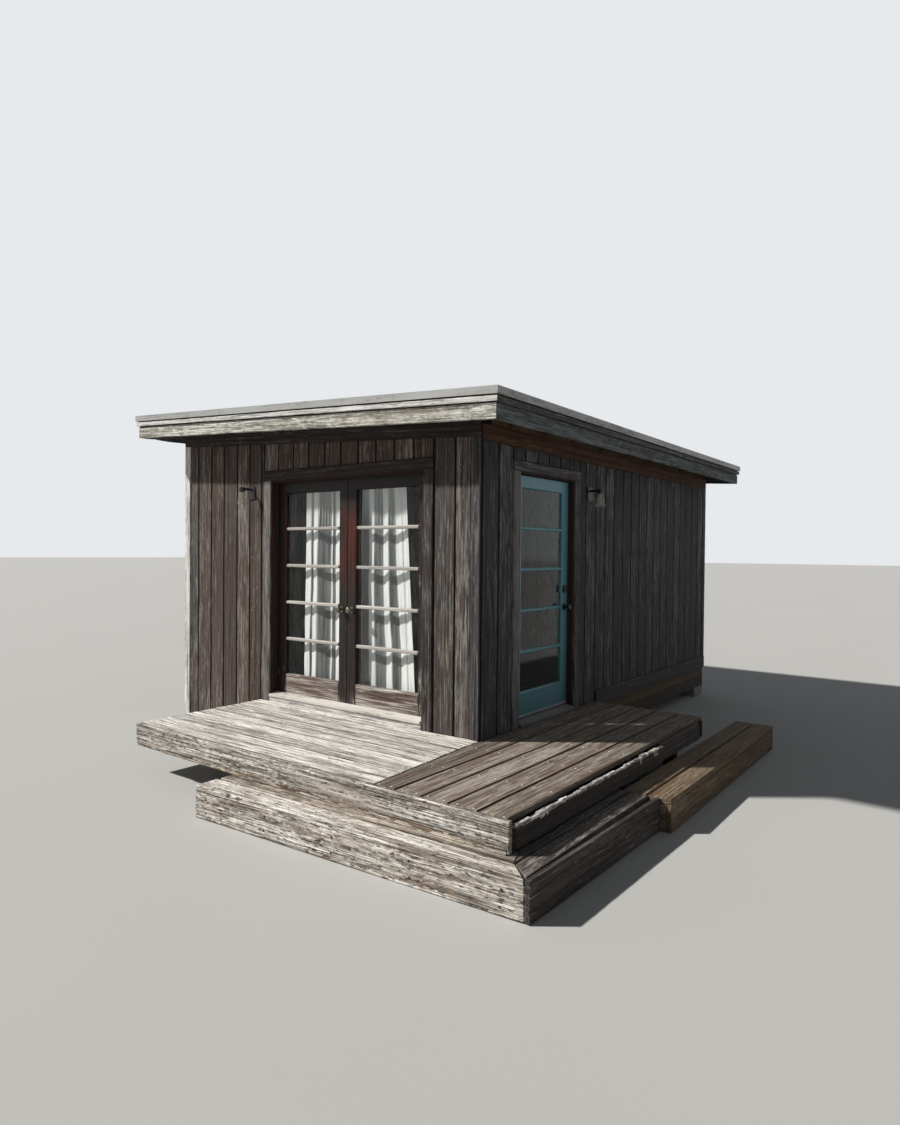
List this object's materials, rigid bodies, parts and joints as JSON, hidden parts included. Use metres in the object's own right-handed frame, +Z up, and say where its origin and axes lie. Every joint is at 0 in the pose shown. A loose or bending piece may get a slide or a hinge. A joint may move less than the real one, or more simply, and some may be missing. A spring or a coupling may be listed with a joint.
{
  "type": "garden office pod",
  "caption": "Single-slope timber garden studio with glazed double doors in front, a glazed side door, a wrap-round deck and low steps.",
  "frame": {"origin": "centre of the bounding box on the ground", "axes": "+Z up; -Y is the front with the double doors; +X is the side with the single door"},
  "size_m": [5.63, 7.07, 3.2528],
  "materials": {
    "siding": "weathered",
    "trim_wood": "weathered",
    "frame_wood": "weathered",
    "structure": "sawn",
    "plywood": "sanded",
    "roof_felt": "matte",
    "flashing": "satin",
    "red_leaf": "satin",
    "teal_leaf": "satin",
    "pane": "clear",
    "furniture": "aged",
    "curtain": "woven",
    "lamp_metal": "satin",
    "lamp_glass": "clear",
    "deck_wood": "weathered",
    "deck_rim_wood": "stained",
    "step_wood": "weathered",
    "concrete": "rough"
  },
  "bodies": {
    "pod": {"pier_blocks": "concrete", "skids": "structure", "floor_frame": "structure", "floor_boards": "plywood", "front_wall_left": "siding", "front_wall_right": "siding", "front_wall_header": "siding", "side_wall_front": "siding", "side_wall_rear": "siding", "side_wall_header": "siding", "left_wall": "siding", "back_wall": "siding", "roof_deck": "plywood", "roof_membrane": "roof_felt", "roof_frame": "structure", "fascia_boards": "trim_wood", "roof_trim": "trim_wood", "drip_edge": "flashing", "frieze_and_corner_boards": "trim_wood", "base_cladding": "trim_wood", "door_casings": "trim_wood", "front_door_frame": "frame_wood", "side_door_frame": "frame_wood", "fixed_hinge_plates": "furniture", "front_door_sill": "trim_wood", "side_door_sill": "trim_wood", "light_brackets": "lamp_metal", "light_shades": "lamp_glass", "deck_boards": "deck_wood", "deck_joists": "structure", "deck_posts": "structure", "deck_rim": "deck_rim_wood", "step_treads": "step_wood", "step_frames": "deck_rim_wood"},
    "french_left": {"french_leaf_left": "red_leaf", "french_glass_left": "pane", "french_furniture_left": "furniture", "curtain_left": "curtain"},
    "french_right": {"french_leaf_right": "red_leaf", "french_glass_right": "pane", "french_furniture_right": "furniture", "curtain_right": "curtain"},
    "side_door": {"side_leaf": "teal_leaf", "side_glass": "pane", "side_furniture": "furniture"}
  },
  "joints": [
    {"name": "french_left_hinge", "type": "hinge", "parent": "pod", "child": "french_left", "pos_m": [-1.049, -1.793, 1.479], "axis": [0, 0, 1], "range_deg": [0, 110]},
    {"name": "french_right_hinge", "type": "hinge", "parent": "pod", "child": "french_right", "pos_m": [0.795, -1.793, 1.479], "axis": [0, 0, -1], "range_deg": [0, 110]},
    {"name": "side_door_hinge", "type": "hinge", "parent": "pod", "child": "side_door", "pos_m": [1.324, -1.357, 1.479], "axis": [0, 0, -1], "range_deg": [0, 90]}
  ]
}
